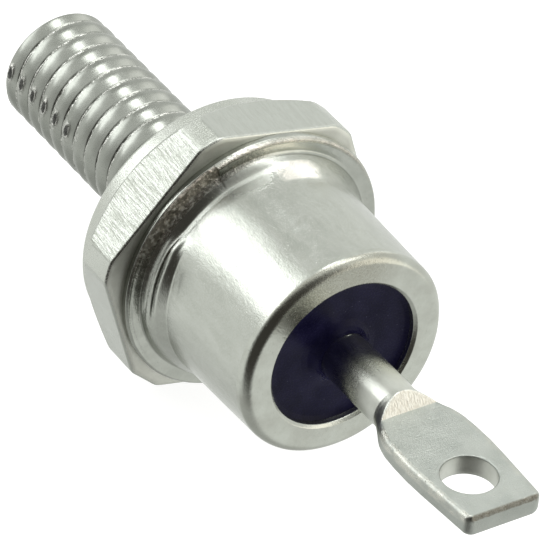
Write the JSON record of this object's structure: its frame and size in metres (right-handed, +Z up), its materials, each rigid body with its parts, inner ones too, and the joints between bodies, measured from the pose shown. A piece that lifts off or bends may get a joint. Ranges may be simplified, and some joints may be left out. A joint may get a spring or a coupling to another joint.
{
  "type": "stud diode",
  "caption": "Stud-mounted rectifier diode: threaded stud and hexagon base, welded can with a dark glass seal, and a flattened tube terminal with an eyelet hole.",
  "frame": {"origin": "on the surface that the part lies on, under the middle of its length and of the hexagon's width", "axes": "+X along the stud axis from the stud's free end to the terminal's tip, +Y across the corners of the hexagon, +Z up from the flat that it lies on"},
  "size_m": [0.0308, 0.0122, 0.011],
  "materials": {
    "plated_base": "bright silver plating with brushed flats and worn thread crests",
    "plated_can": "satin silver plating over drawn steel, shinier on the weld flange",
    "seal_glass": "opaque dark blue fired glass, smooth and slightly speckled",
    "plated_terminal": "satin silver plating on a flattened tube",
    "copper": "bare drawn copper",
    "solder": "dull reflowed solder",
    "expansion_metal": "lapped grey metal",
    "silicon": "dark polished silicon",
    "coating": "soft cured coating"
  },
  "bodies": {
    "root": {"stud_base": "plated_base", "cap_shell": "plated_can", "glass_seal": "seal_glass", "terminal_lug": "plated_terminal", "inner_lead": "copper", "base_solder": "solder", "lower_disc": "expansion_metal", "die_solder": "solder", "silicon_die": "silicon", "contact_solder": "solder", "upper_disc": "expansion_metal", "lead_solder": "solder", "edge_coating": "coating"}
  },
  "joints": []
}
